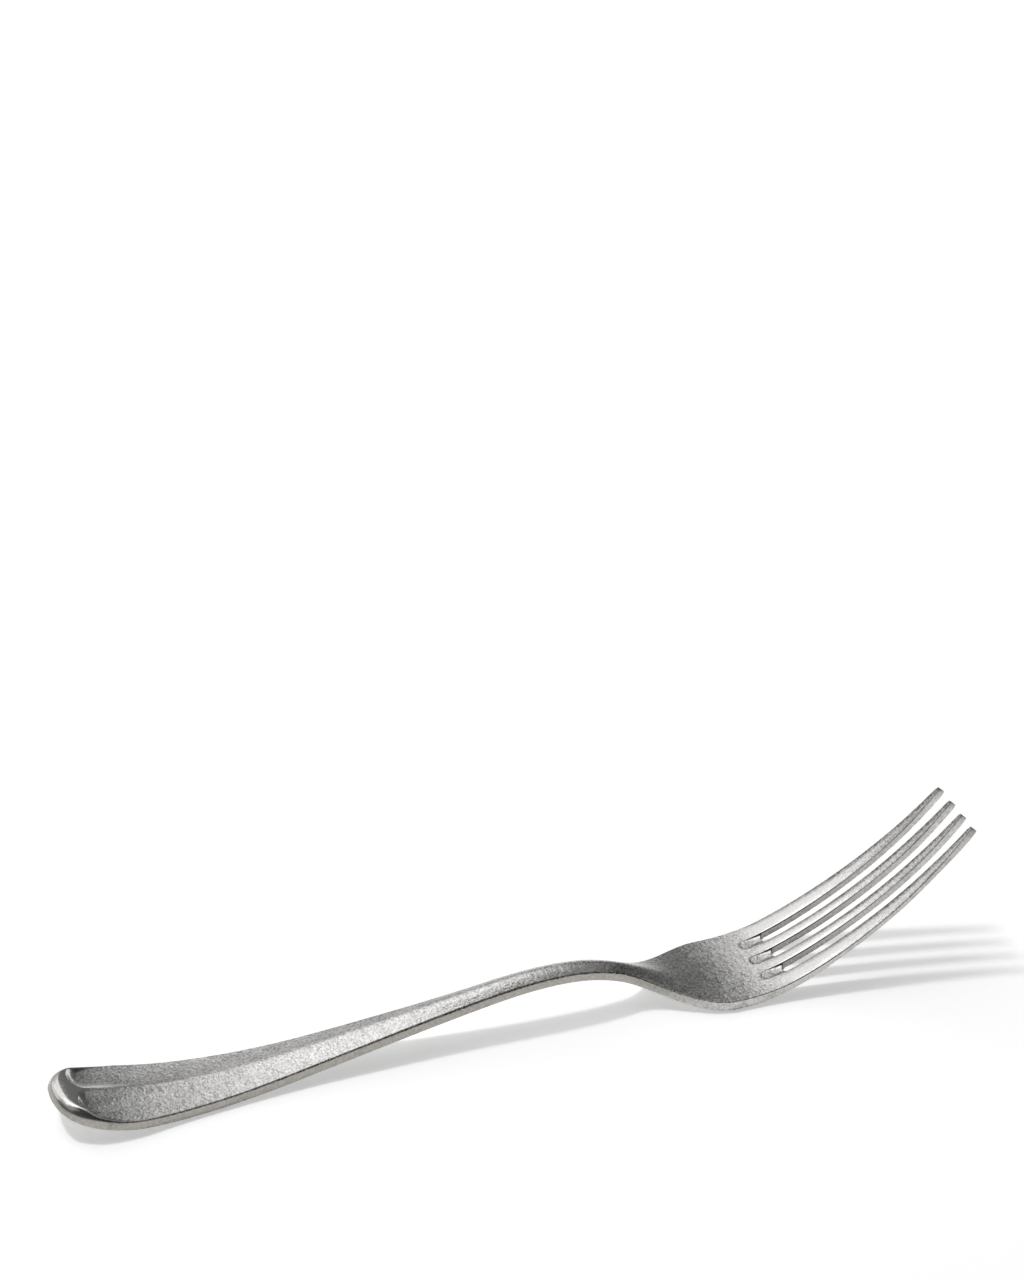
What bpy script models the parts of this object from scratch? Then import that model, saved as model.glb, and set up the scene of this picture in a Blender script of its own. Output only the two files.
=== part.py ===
"""Dessert fork: one piece of stainless steel, blanked from sheet, coined and bent.

+X runs from the handle to the tine tips, +Y is across the fork and +Z is up. The fork lies on a table as
it does in use, on its handle and its palm. The origin is on the table, below the middle of the fork's box.
Lengths are in metres and slopes in degrees.
"""
import math

import bmesh
import bpy
import numpy as np

# Lengths along the blank, in order from the handle's end to the tine tips
END_TURN_UP = 0.0285      # turned-up end, as far as the point where the handle rests
LOWER_HANDLE = 0.0273     # from there to where the handle climbs steadily
UPPER_HANDLE = 0.0300     # the steady climb
NECK_RISE = 0.0149        # from the climb to the crest of the neck
NECK_FALL = 0.0170        # from the crest to the steepest point
PALM_FALL = 0.0184        # from there to the point where the palm rests
PALM_RISE = 0.0126        # from that point to the roots of the slots
TINE_LOWER = 0.0230       # from the roots to the middle of the tines
TINE_UPPER = 0.0228       # from the middle of the tines to their tips

# Slope of the bent blank where those lengths meet: it is level at both rests and at the crest
END_SLOPE = -20.2
LOWER_HANDLE_SLOPE = 8.1
UPPER_HANDLE_SLOPE = 9.0
NECK_SLOPE = -23.9
ROOT_SLOPE = 19.7
TINE_SLOPE = 34.1
TIP_SLOPE = 47.2

# Outline of the handle and the head
HANDLE_WIDTH = 0.0190     # at its widest
END_ROUND = 0.0150        # from the handle's end to its widest point
END_SQUARENESS = 2.8      # exponent of the rounded end: 2 is an ellipse, more is blunter
REST_WIDTH = 0.0153       # where the handle rests
MIDDLE_WIDTH = 0.0091     # where the climb starts
UPPER_WIDTH = 0.0054      # where the climb ends
NECK_WIDTH = 0.0046
HEAD_WIDTH = 0.0216
NECK_STRAIGHT = 0.0131    # from the crest to the start of the shoulder
SHOULDER_LENGTH = 0.0217  # from the neck's width to the head's width
HEAD_TAPER = 1.9          # exponent of the narrowing from the shoulder to the tips

# Tines and slots
TINE_COUNT = 4
SLOT_PITCH = 0.0054       # across, at the roots
SLOT_WIDTH = 0.0026       # at the roots
ROOT_ROUND = 0.0008       # depth of a slot's rounded root
TIP_TAPER = 0.0130        # length over which the tines taper to their tips
TAPER_SLOT = 0.0029       # width of a slot where that taper starts
TIP_PITCH = 0.0050        # across, from tip to tip
TIP_WIDTH = 0.0010
TIP_ROUND = 0.0012        # length over which a tip is rounded off
TIP_NARROWING = 0.0004    # how much narrower the blunt end of a tip is
GROOVE_LENGTH = 0.0055    # pressed lead-in ahead of each slot
GROOVE_LIP = 0.00012      # depth of a groove along its sides
GROOVE_DEPTH = 0.00028    # depth of its hollow below them
GROOVE_RAMP = 0.0014      # length over which it grows that deep

# Thickness of the edge all round
END_EDGE = 0.0019
HANDLE_EDGE = 0.00205
NECK_EDGE = 0.0017
PALM_EDGE = 0.0020
ROOT_EDGE = 0.00165
TIP_EDGE = 0.0015
EDGE_CHAMFER = 0.0002

# Relief pressed into the upper side, above the edge
PAD_HEIGHT = 0.0012       # raised pad at the handle's end
PAD_END_SHARE = 0.6       # share of that height which the pad has at the very end
PAD_ROUND = 0.00135       # width of the pad's rounded rim
PAD_LENGTH = 0.0037       # from the handle's end to the two scoops beside the ridge
PAD_STEP = 0.0022         # length of the hollow step down from the pad to the scoops
SCOOP_MIDDLE = 0.0042     # from the ridge to the middle of each scoop
SCOOP_RADIUS = 0.0042     # of the scoops' rounded ends
RIDGE_ROUND = 0.0007      # roundness of the ridge where it leaves the pad
RIDGE_HEIGHT = 0.0009     # ridge along the handle
CREST_HEIGHT = 0.0004     # narrow crest on the ridge, from the pad onwards
CREST_WIDTH = 0.0011
CREST_LENGTH = 0.0120     # length over which the crest fades
NECK_CROWN = 0.0010       # round crown of the neck
TINE_CROWN = 0.00012      # round crown of each tine

# Relief of the underside, below or above the edge
END_LIFT = 0.0004         # thinning of the handle's end
LIFT_LENGTH = 0.0030      # length over which that thinning fades
BELLY = 0.0002            # roundness of the handle and the palm
NECK_BELLY = 0.0005
TINE_BELLY = 0.0001       # roundness of each tine
TINE_DISH = 0.00025       # how far the tips of the inner tines lie below the outer ones
TINE_FEATHER = 0.0004     # thinning of the outer tines towards their outer edge
FEATHER_LENGTH = 0.0120   # length over which that thinning sets in
FEATHER_FALL = 4.0        # exponent of that thinning across the head
REST_FLAT = 0.00004       # depth of the worn flats that the fork rests on

# Fineness of the mesh
END_CORNER = 0.78         # share of the half width that the first row of faces spans
END_FAN = 1.4             # how far the rows fan out from the end, in depths of that first row
TINE_COLUMNS = 3
SLOT_LINE = 0.62          # place of a groove's two side lines: 0 is its middle and 1 its side
SLOT_LINES = (-1.0, -SLOT_LINE, 0.0, SLOT_LINE, 1.0)
SPINE_STEPS = 4000
TILT_STEPS = 4            # times that the lowest points are looked for while the fork settles

STEEL_COLOUR = (0.60, 0.59, 0.57, 1.0)
STEEL_ROUGHNESS = 0.38
SMOOTH_ANGLE = 35.0

# Stations along the blank that follow from the lengths
REST = END_TURN_UP
CLIMB = REST + LOWER_HANDLE
CLIMB_END = CLIMB + UPPER_HANDLE
CREST = CLIMB_END + NECK_RISE
STEEPEST = CREST + NECK_FALL
PALM = STEEPEST + PALM_FALL
ROOT = PALM + PALM_RISE
MID_TINE = ROOT + TINE_LOWER
TIP = MID_TINE + TINE_UPPER
SHOULDER = CREST + NECK_STRAIGHT
HEAD = SHOULDER + SHOULDER_LENGTH
GROOVE = ROOT - GROOVE_LENGTH


def smoothstep(start, end, s):
    """S-shaped rise from 0 at start to 1 at end."""
    t = np.clip((np.asarray(s) - start) / (end - start), 0.0, 1.0)
    return t * t * (3.0 - 2.0 * t)


def through(stations, values, s):
    """Smooth curve through the values at the stations, with no overshoot between them."""
    x = np.asarray(stations)
    y = np.asarray(values)
    step = np.diff(x)
    rise = np.diff(y) / step
    slope = np.zeros(len(x))
    slope[0] = rise[0]
    slope[-1] = rise[-1]
    same_way = rise[:-1] * rise[1:] > 0.0
    before = step[:-1] + 2.0 * step[1:]
    after = 2.0 * step[:-1] + step[1:]
    first = np.where(same_way, rise[:-1], 1.0)
    second = np.where(same_way, rise[1:], 1.0)
    mean = (before + after) / (before / second + after / first)
    slope[1:-1] = np.where(same_way, mean, 0.0)
    s = np.clip(s, x[0], x[-1])
    i = np.clip(np.searchsorted(x, s) - 1, 0, len(step) - 1)
    t = (s - x[i]) / step[i]
    lead = (1.0 + 2.0 * t) * (1.0 - t) ** 2 * y[i] + t * (1.0 - t) ** 2 * step[i] * slope[i]
    trail = t * t * (3.0 - 2.0 * t) * y[i + 1] + t * t * (t - 1.0) * step[i] * slope[i + 1]
    return lead + trail


def half_width(s):
    """Half the width of the outline: rounded end, tapering handle, neck, shoulder and narrowing head."""
    s = np.asarray(s, dtype=float)
    nose = np.clip(1.0 - s / END_ROUND, 0.0, 1.0)
    end = (1.0 - nose ** END_SQUARENESS) ** (1.0 / END_SQUARENESS)
    handle = through(
        (END_ROUND, REST, CLIMB, CLIMB_END, SHOULDER),
        (HANDLE_WIDTH, REST_WIDTH, MIDDLE_WIDTH, UPPER_WIDTH, NECK_WIDTH), s) / 2.0
    tip_half = (TINE_COUNT - 1) / 2.0 * TIP_PITCH + TIP_WIDTH / 2.0
    along = np.clip((s - HEAD) / (TIP - HEAD), 0.0, 1.0)
    head = HEAD_WIDTH / 2.0 + (tip_half - HEAD_WIDTH / 2.0) * along ** HEAD_TAPER
    return end * (handle + (head - handle) * smoothstep(SHOULDER, HEAD, s))


def edge_share(s, y):
    """How far across a point lies: 0 on the middle line and 1 at the edge."""
    return np.clip(np.abs(y) / np.maximum(half_width(s), EDGE_CHAMFER), 0.0, 1.0)


def slot_edges(slot, s):
    """The two sides of a slot, across the blank."""
    along = np.clip((s - ROOT) / (TIP - ROOT), 0.0, 1.0)
    centre = (slot - (TINE_COUNT - 2) / 2.0) * (SLOT_PITCH + (TIP_PITCH - SLOT_PITCH) * along)
    half = through((ROOT, TIP - TIP_TAPER, TIP), (SLOT_WIDTH, TAPER_SLOT, TIP_PITCH - TIP_WIDTH), s) / 2.0
    return centre - half, centre + half


def tine_edges(tine, s):
    """The two sides of a tine, across the blank, drawn in at its rounded tip."""
    low = -half_width(s) if tine == 0 else slot_edges(tine - 1, s)[1]
    high = half_width(s) if tine == TINE_COUNT - 1 else slot_edges(tine, s)[0]
    inward = TIP_NARROWING / 2.0 * np.clip((s - TIP + TIP_ROUND) / TIP_ROUND, 0.0, 1.0) ** 2
    return low + inward, high - inward


def columns():
    """The lines across the head: (is in a slot, number of the tine or slot, place from -1 to 1 within it)."""
    lines = []
    for tine in range(TINE_COUNT):
        lines += [(False, tine, place) for place in np.linspace(-1.0, 1.0, TINE_COLUMNS + 1)]
        if tine < TINE_COUNT - 1:
            lines += [(True, tine, place) for place in SLOT_LINES[1:-1]]
    return lines


def line_place(line, s):
    """How far across the blank a line lies at a station of the head."""
    in_slot, number, place = line
    low, high = slot_edges(number, s) if in_slot else tine_edges(number, s)
    return (low + high) / 2.0 + place * (high - low) / 2.0


def row_stations():
    """Stations of the rows of faces, closer where the relief changes."""
    spans = (
        (0.0, fan_length(), 6),
        (fan_length(), END_ROUND, 20),
        (END_ROUND, REST, 5),
        (REST, CLIMB, 7),
        (CLIMB, CLIMB_END, 5),
        (CLIMB_END, CREST, 5),
        (CREST, STEEPEST, 6),
        (STEEPEST, PALM, 9),
        (PALM, GROOVE, 4),
        (GROOVE, GROOVE + GROOVE_RAMP, 1),
        (GROOVE + GROOVE_RAMP, ROOT, 3),
        (ROOT, MID_TINE, 8),
        (MID_TINE, TIP - TIP_ROUND, 7),
        (TIP - TIP_ROUND, TIP, 2),
    )
    rows = [0.0]
    for start, end, count in spans:
        rows += list(np.linspace(start, end, count + 1)[1:])
    return rows


def end_station(y):
    """Station of the rounded end's outline at a distance y across."""
    share = 1.0 - (abs(y) / (HANDLE_WIDTH / 2.0)) ** END_SQUARENESS
    return END_ROUND * (1.0 - share ** (1.0 / END_SQUARENESS))


def fan_length():
    """Distance from the end beyond which the rows of faces run straight across."""
    return END_FAN * end_station(END_CORNER * HANDLE_WIDTH / 2.0)


def plan_point(station, line):
    """Station and distance across of one corner of the grid of faces on the flat blank."""
    if station >= ROOT:
        return station, line_place(line, station)
    share = line_place(line, ROOT) / half_width(ROOT)
    if station < fan_length():
        corner = END_CORNER * HANDLE_WIDTH / 2.0
        fade = 1.0 - station / fan_length()
        side = station + fade * end_station(corner)
        return station + fade * end_station(share * corner), share * half_width(side)
    return station, share * half_width(station)


def root_shift(station, line):
    """How far a slot's rounded root draws a corner of the grid back towards the handle."""
    in_slot, _, place = line
    if not in_slot or not GROOVE < station <= ROOT:
        return 0.0
    return ROOT_ROUND * math.sqrt(1.0 - place * place) * (station - GROOVE) / GROOVE_LENGTH


def groove_depth(station, line):
    """How deep a groove is pressed at a corner of the grid once it is fully grown."""
    in_slot, _, place = line
    if not in_slot or not GROOVE < station <= ROOT:
        return 0.0
    return GROOVE_LIP + GROOVE_DEPTH * (1.0 - place * place)


def flat_blank():
    """The flat blank as a grid of faces, open at the slots; z marks the side, 0 below and 1 above."""
    bm = bmesh.new()
    rim = bm.verts.layers.int.new("rim")
    groove = bm.verts.layers.float.new("groove")
    lines = columns()
    corners = {}

    def corner(station, number):
        """The vertex at a row and a line, made at its first use."""
        key = (station, number)
        if key not in corners:
            line = lines[number]
            s, y = plan_point(station, line)
            corners[key] = bm.verts.new((s - root_shift(station, line), y, 0.0))
            corners[key][groove] = groove_depth(station, line)
        return corners[key]

    rows = row_stations()
    for start, end in zip(rows[:-1], rows[1:]):
        for number in range(len(lines) - 1):
            beside_slot = lines[number][0] or lines[number + 1][0]
            if beside_slot and start >= ROOT:
                continue
            bm.faces.new((corner(start, number), corner(end, number),
                          corner(end, number + 1), corner(start, number + 1)))
    bmesh.ops.inset_region(bm, faces=bm.faces[:], thickness=EDGE_CHAMFER,
                           use_even_offset=True, use_boundary=True)
    for vert in bm.verts:
        vert[rim] = int(vert.is_boundary)
        vert[groove] = 0.0 if vert.is_boundary else vert[groove]
    raised = bmesh.ops.extrude_face_region(bm, geom=bm.faces[:])["geom"]
    for vert in raised:
        if isinstance(vert, bmesh.types.BMVert):
            vert.co.z = 1.0
    return bm


def edge_thickness(s):
    """Thickness of the edge along the blank."""
    return through(
        (0.0, REST, CLIMB, CREST, STEEPEST, PALM, ROOT, TIP),
        (END_EDGE, HANDLE_EDGE, HANDLE_EDGE, NECK_EDGE, NECK_EDGE, PALM_EDGE, ROOT_EDGE, TIP_EDGE), s)


def rim_distance(s, y):
    """Distance from the outline of the handle, at and near its rounded end."""
    half = half_width(np.maximum(s, END_ROUND))
    nose = np.clip(1.0 - s / END_ROUND, 0.0, 1.0)
    across = np.maximum(np.abs(y), EDGE_CHAMFER) / half
    reach = (nose ** END_SQUARENESS + across ** END_SQUARENESS) ** (1.0 / END_SQUARENESS)
    power = END_SQUARENESS - 1.0
    fall = np.hypot((nose / reach) ** power / END_ROUND, (across / reach) ** power / half)
    return np.clip((1.0 - reach) / fall, 0.0, None)


def upper_relief(s, y):
    """Height of the upper side above the edge: pad, scooped ridge, and the neck's round crown."""
    v = edge_share(s, y)
    rim = np.clip(1.0 - rim_distance(s, y) / PAD_ROUND, 0.0, 1.0)
    risen = 1.0 - (1.0 - PAD_END_SHARE) * np.clip(1.0 - s / PAD_LENGTH, 0.0, 1.0) ** 2
    pad = PAD_HEIGHT * risen * (1.0 - rim ** 2)
    fade = np.exp(-np.clip(s - PAD_LENGTH, 0.0, None) / CREST_LENGTH)
    ridge = (1.0 - v) * (RIDGE_HEIGHT + CREST_HEIGHT * fade * np.exp(-np.abs(y) / CREST_WIDTH))
    crown = NECK_CROWN * (1.0 - v * v)
    step = PAD_LENGTH + (np.hypot(y, RIDGE_ROUND) - SCOOP_MIDDLE) ** 2 / (2.0 * SCOOP_RADIUS)
    beyond_pad = 1.0 - (1.0 - np.clip((s - step) / PAD_STEP, 0.0, 1.0)) ** 2
    to_neck = smoothstep(CLIMB, CREST, s)
    to_palm = smoothstep(SHOULDER, PALM, s)
    handle = pad + (ridge - pad) * beyond_pad
    return (handle + (crown - handle) * to_neck) * (1.0 - to_palm)


def lower_relief(s, y):
    """Height of the underside above the edge: belly, thinned handle's end, and thinned outer tines."""
    v = edge_share(s, y)
    belly = through((0.0, CLIMB, CREST, STEEPEST, PALM, ROOT),
                    (BELLY, BELLY, NECK_BELLY, NECK_BELLY, BELLY, 0.0), s)
    onset = smoothstep(ROOT, ROOT + FEATHER_LENGTH, s) * (1.0 - smoothstep(TIP - TIP_TAPER, TIP, s))
    lift = END_LIFT * np.exp(-s / LIFT_LENGTH)
    return lift + TINE_FEATHER * onset * v ** FEATHER_FALL - belly * (1.0 - v * v)


def tine_roundness(s, y):
    """Share of a tine's roundness: 0 along its middle and 1 along its sides, none at grooves and tips."""
    place = np.ones(np.shape(s))
    for tine in range(TINE_COUNT):
        low, high = tine_edges(tine, s)
        place = np.minimum(place, np.abs(2.0 * y - low - high) / (high - low))
    return place ** 2 * smoothstep(GROOVE, ROOT, s) * (1.0 - smoothstep(TIP - TIP_TAPER, TIP, s))


def coin(points, rim, groove):
    """Heights of the blank's points after coining: thickness, relief, grooves and the rim's chamfer."""
    s, y, side = points.T
    roundness = tine_roundness(s, y)
    upper = edge_thickness(s) + upper_relief(s, y) - TINE_CROWN * roundness
    upper -= groove * np.clip((s - GROOVE) / GROOVE_RAMP, 0.0, 1.0)
    lower = lower_relief(s, y) + TINE_BELLY * roundness
    chamfer = np.where(rim, EDGE_CHAMFER, 0.0)
    dish = TINE_DISH * (1.0 - edge_share(s, y) ** 2) * smoothstep(ROOT, TIP, s)
    return np.where(side > 0.5, upper - chamfer, lower + chamfer) - dish


def bend(s, height):
    """Places along X and Z of points of the coined blank once it is bent to its slopes."""
    station = np.linspace(0.0, TIP, SPINE_STEPS)
    slope = np.radians(through(
        (0.0, REST, CLIMB, CLIMB_END, CREST, STEEPEST, PALM, ROOT, MID_TINE, TIP),
        (END_SLOPE, 0.0, LOWER_HANDLE_SLOPE, UPPER_HANDLE_SLOPE, 0.0, NECK_SLOPE, 0.0, ROOT_SLOPE, TINE_SLOPE,
         TIP_SLOPE), station))
    step = station[1] - station[0]
    along = np.concatenate(([0.0], np.cumsum(np.cos(slope[1:]) + np.cos(slope[:-1])) * step / 2.0))
    rise = np.concatenate(([0.0], np.cumsum(np.sin(slope[1:]) + np.sin(slope[:-1])) * step / 2.0))
    here = np.interp(s, station, slope)
    x = np.interp(s, station, along) - np.sin(here) * height
    z = np.interp(s, station, rise) + np.cos(here) * height
    return x, z


def lay_on_table(x, z, s):
    """Tilt the fork until handle and palm both touch the table, wear both rests flat and centre the fork."""
    handle = np.flatnonzero(s < CREST)
    head = np.flatnonzero(s >= CREST)
    for _ in range(TILT_STEPS):
        back = handle[np.argmin(z[handle])]
        front = head[np.argmin(z[head])]
        tilt = math.atan2(z[front] - z[back], x[front] - x[back])
        turn_cos, turn_sin = math.cos(tilt), math.sin(tilt)
        x, z = x * turn_cos + z * turn_sin, z * turn_cos - x * turn_sin
    z = np.maximum(z - z.min() - REST_FLAT, 0.0)
    return x - (x.min() + x.max()) / 2.0, z


def steel():
    """Washed stainless steel."""
    material = bpy.data.materials.new("stonewashed_steel")
    material.use_nodes = True
    shader = material.node_tree.nodes["Principled BSDF"]
    shader.inputs["Base Color"].default_value = STEEL_COLOUR
    shader.inputs["Metallic"].default_value = 1.0
    shader.inputs["Roughness"].default_value = STEEL_ROUGHNESS
    return material


def fork():
    """The fork, from flat blank to bent piece."""
    bm = flat_blank()
    rim_layer = bm.verts.layers.int["rim"]
    groove_layer = bm.verts.layers.float["groove"]
    points = np.array([vert.co[:] for vert in bm.verts])
    rim = np.array([vert[rim_layer] for vert in bm.verts], dtype=bool)
    groove = np.array([vert[groove_layer] for vert in bm.verts])
    x, z = bend(points[:, 0], coin(points, rim, groove))
    x, z = lay_on_table(x, z, points[:, 0])
    for vert, place in zip(bm.verts, zip(x, points[:, 1], z)):
        vert.co = place
    bmesh.ops.recalc_face_normals(bm, faces=bm.faces[:])
    mesh = bpy.data.meshes.new("dessert_fork")
    bm.to_mesh(mesh)
    bm.free()
    mesh.shade_smooth()
    mesh.set_sharp_from_angle(angle=math.radians(SMOOTH_ANGLE))
    mesh.materials.append(steel())
    piece = bpy.data.objects.new("dessert_fork", mesh)
    bpy.context.scene.collection.objects.link(piece)
    return piece


def main():
    """Clear the scene and build the fork."""
    for old in list(bpy.data.objects):
        bpy.data.objects.remove(old, do_unlink=True)
    fork()


main()
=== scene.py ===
"""Looks of a dessert fork pressed from one piece of steel: its fine surface, washed finish, stage and camera.

+X runs from the handle to the tine tips, +Y is across the fork and +Z is up, as in the frame. Lengths are in
metres and angles in degrees. A station is a distance along the flat blank from the handle's end.
"""
import logging
import math
from dataclasses import dataclass, field
from enum import Enum

import bpy
import numpy as np
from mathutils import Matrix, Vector


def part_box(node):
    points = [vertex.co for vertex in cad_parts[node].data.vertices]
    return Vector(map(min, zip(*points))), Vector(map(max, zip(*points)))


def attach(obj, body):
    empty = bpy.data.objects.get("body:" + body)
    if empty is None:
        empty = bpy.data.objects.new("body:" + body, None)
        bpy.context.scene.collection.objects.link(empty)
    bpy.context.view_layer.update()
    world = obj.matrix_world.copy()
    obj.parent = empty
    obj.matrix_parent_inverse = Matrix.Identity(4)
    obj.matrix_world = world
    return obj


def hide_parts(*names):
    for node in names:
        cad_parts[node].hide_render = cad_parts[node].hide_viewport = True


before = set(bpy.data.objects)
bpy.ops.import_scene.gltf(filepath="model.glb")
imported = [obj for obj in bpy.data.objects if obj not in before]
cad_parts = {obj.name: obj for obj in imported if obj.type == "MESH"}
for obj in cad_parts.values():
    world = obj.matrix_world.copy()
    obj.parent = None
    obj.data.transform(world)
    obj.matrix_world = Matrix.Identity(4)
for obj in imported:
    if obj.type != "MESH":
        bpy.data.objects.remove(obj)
LOG = logging.getLogger("dessert_fork")
Array = np.ndarray
Socket = bpy.types.NodeSocket
Colour = tuple[float, float, float, float]

NODE = "dessert_fork"
SLOT = "stonewashed_steel"
PHOTO_WIDTH = 1024
KEY_AZIMUTH = -40.5
KEY_ELEVATION = 64.6


class Trait(Enum):
    """A share from 0 to 1 that the finish reads at each point, by its name in the mesh."""

    # Walls: their darker, warmer colour is partly painted shade.
    WALL = "wall"
    # Painted shade in the scoops, round the grooves and under the slots, and a darker strip at the tines'
    # edges.
    EDGE = "edge"
    # Groove floors, which take painted shade.
    GROOVE = "groove"
    POLISH = "polish"


class Edge(Enum):
    """Where the steel ends: at its outline, at a tip, and at a slot's root or side."""

    RIM = "rim"
    TIP = "tip"
    ROOT = "root"
    SLOT = "slot"


def smoothstep(start: float, end: float, s: Array) -> Array:
    """S-shaped rise from 0 at start to 1 at end: 3t² − 2t³ of the share t that is covered.

    Args:
        start: Where the rise starts.
        end: Where it ends.
        s: Where it is read.

    Returns:
        The risen share, as s is shaped.
    """
    t = np.clip((np.asarray(s) - start) / (end - start), 0.0, 1.0)
    return t * t * (3.0 - 2.0 * t)


def through(stations: tuple, values: tuple, s: Array) -> Array:
    """Smooth curve through values at stations: cubics whose slopes are harmonic means, so none overshoots.

    Args:
        stations: Where the values are given, in rising order.
        values: The values there.
        s: Where the curve is read; beyond the ends it stays level.

    Returns:
        The curve's values, as s is shaped.
    """
    x = np.asarray(stations)
    y = np.asarray(values)
    step = np.diff(x)
    rise = np.diff(y) / step
    same_way = rise[:-1] * rise[1:] > 0.0
    before = step[:-1] + 2.0 * step[1:]
    after = 2.0 * step[:-1] + step[1:]
    first = np.where(same_way, rise[:-1], 1.0)
    second = np.where(same_way, rise[1:], 1.0)
    mean = (before + after) / (before / second + after / first)
    slope = np.concatenate((rise[:1], np.where(same_way, mean, 0.0), rise[-1:]))
    s = np.clip(s, x[0], x[-1])
    i = np.clip(np.searchsorted(x, s) - 1, 0, len(step) - 1)
    t = (s - x[i]) / step[i]
    lead = (1.0 + 2.0 * t) * (1.0 - t) ** 2 * y[i] + t * (1.0 - t) ** 2 * step[i] * slope[i]
    trail = t * t * (3.0 - 2.0 * t) * y[i + 1] + t * t * (t - 1.0) * step[i] * slope[i + 1]
    return lead + trail


def quarter_round(nearness: Array, radius: Array) -> Array:
    """How far a rounded edge falls away: radius × (1 − √(1 − nearness²)), a quarter of a circle.

    Args:
        nearness: 0 at a radius or more from the edge, 1 on it.
        radius: Radius of the rounding.

    Returns:
        The fall, from 0 to the radius.
    """
    return radius * (1.0 - np.sqrt(1.0 - np.clip(nearness, 0.0, 1.0) ** 2))


def put(name: str, data: bpy.types.ID) -> bpy.types.Object:
    """Make an object of a mesh, lamp or camera and put it into the scene.

    Args:
        name: The object's name.
        data: The mesh, lamp or camera.

    Returns:
        The object.
    """
    item = bpy.data.objects.new(name, data)
    bpy.context.scene.collection.objects.link(item)
    return item


@dataclass(frozen=True)
class Spine:
    """Bend of the blank: the lengths between its marked stations, and its slope at each of them."""

    end_turn_up: float = 0.0285
    lower_handle: float = 0.0273
    upper_handle: float = 0.0300
    neck_rise: float = 0.0149
    neck_fall: float = 0.0170
    palm_fall: float = 0.0184
    palm_rise: float = 0.0126
    tine_lower: float = 0.0230
    tine_upper: float = 0.0228
    end_slope: float = -20.2
    lower_handle_slope: float = 8.1
    upper_handle_slope: float = 9.0
    neck_slope: float = -23.9
    root_slope: float = 19.7
    tine_slope: float = 34.1
    tip_slope: float = 47.2
    steps: int = 4000
    settling_steps: int = 4
    worn_flat: float = 0.00004

    @property
    def rest(self) -> float:
        """Station where the handle rests on the table."""
        return self.end_turn_up

    @property
    def climb(self) -> float:
        """Station where the handle starts its steady climb."""
        return self.rest + self.lower_handle

    @property
    def climb_end(self) -> float:
        """Station where that climb ends."""
        return self.climb + self.upper_handle

    @property
    def crest(self) -> float:
        """Station of the highest point of the neck."""
        return self.climb_end + self.neck_rise

    @property
    def steepest(self) -> float:
        """Station where the neck falls most steeply."""
        return self.crest + self.neck_fall

    @property
    def palm(self) -> float:
        """Station where the palm rests on the table."""
        return self.steepest + self.palm_fall

    @property
    def root(self) -> float:
        """Station of the roots of the slots."""
        return self.palm + self.palm_rise

    @property
    def mid_tine(self) -> float:
        """Station of the middle of the tines."""
        return self.root + self.tine_lower

    @property
    def tip(self) -> float:
        """Station of the tine tips."""
        return self.mid_tine + self.tine_upper

    def bend(self, s: Array, height: Array) -> tuple[Array, Array]:
        """Bend the coined blank: add up the slope's cosines and sines, and set heights square to the slope.

        Args:
            s: Stations of the points.
            height: Heights of the points above the flat blank's underside.

        Returns:
            Places along X and Z.
        """
        marks = (0.0, self.rest, self.climb, self.climb_end, self.crest, self.steepest, self.palm, self.root,
                 self.mid_tine, self.tip)
        slopes = (self.end_slope, 0.0, self.lower_handle_slope, self.upper_handle_slope, 0.0, self.neck_slope,
                  0.0, self.root_slope, self.tine_slope, self.tip_slope)
        station = np.linspace(0.0, self.tip, self.steps)
        slope = np.radians(through(marks, slopes, station))
        step = station[1] - station[0]
        along = np.concatenate(([0.0], np.cumsum(np.cos(slope[1:]) + np.cos(slope[:-1])) * step / 2.0))
        rise = np.concatenate(([0.0], np.cumsum(np.sin(slope[1:]) + np.sin(slope[:-1])) * step / 2.0))
        here = np.interp(s, station, slope)
        x = np.interp(s, station, along) - np.sin(here) * height
        z = np.interp(s, station, rise) + np.cos(here) * height
        return x, z

    def lay_down(self, x: Array, z: Array, s: Array, middle: float) -> tuple[Array, Array]:
        """Tilt the fork until handle and palm both touch the table, wear both rests flat and set its middle.

        Args:
            x: Places along X.
            z: Places along Z.
            s: Stations of the points.
            middle: Where the middle of the fork's length lies along X.

        Returns:
            The new places along X and Z.
        """
        handle = np.flatnonzero(s < self.crest)
        head = np.flatnonzero(s >= self.crest)
        for _ in range(self.settling_steps):
            back = handle[np.argmin(z[handle])]
            front = head[np.argmin(z[head])]
            tilt = math.atan2(z[front] - z[back], x[front] - x[back])
            x, z = x * math.cos(tilt) + z * math.sin(tilt), z * math.cos(tilt) - x * math.sin(tilt)
        z = np.maximum(z - z.min() - self.worn_flat, 0.0)
        return x - (x.min() + x.max()) / 2.0 + middle, z


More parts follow.
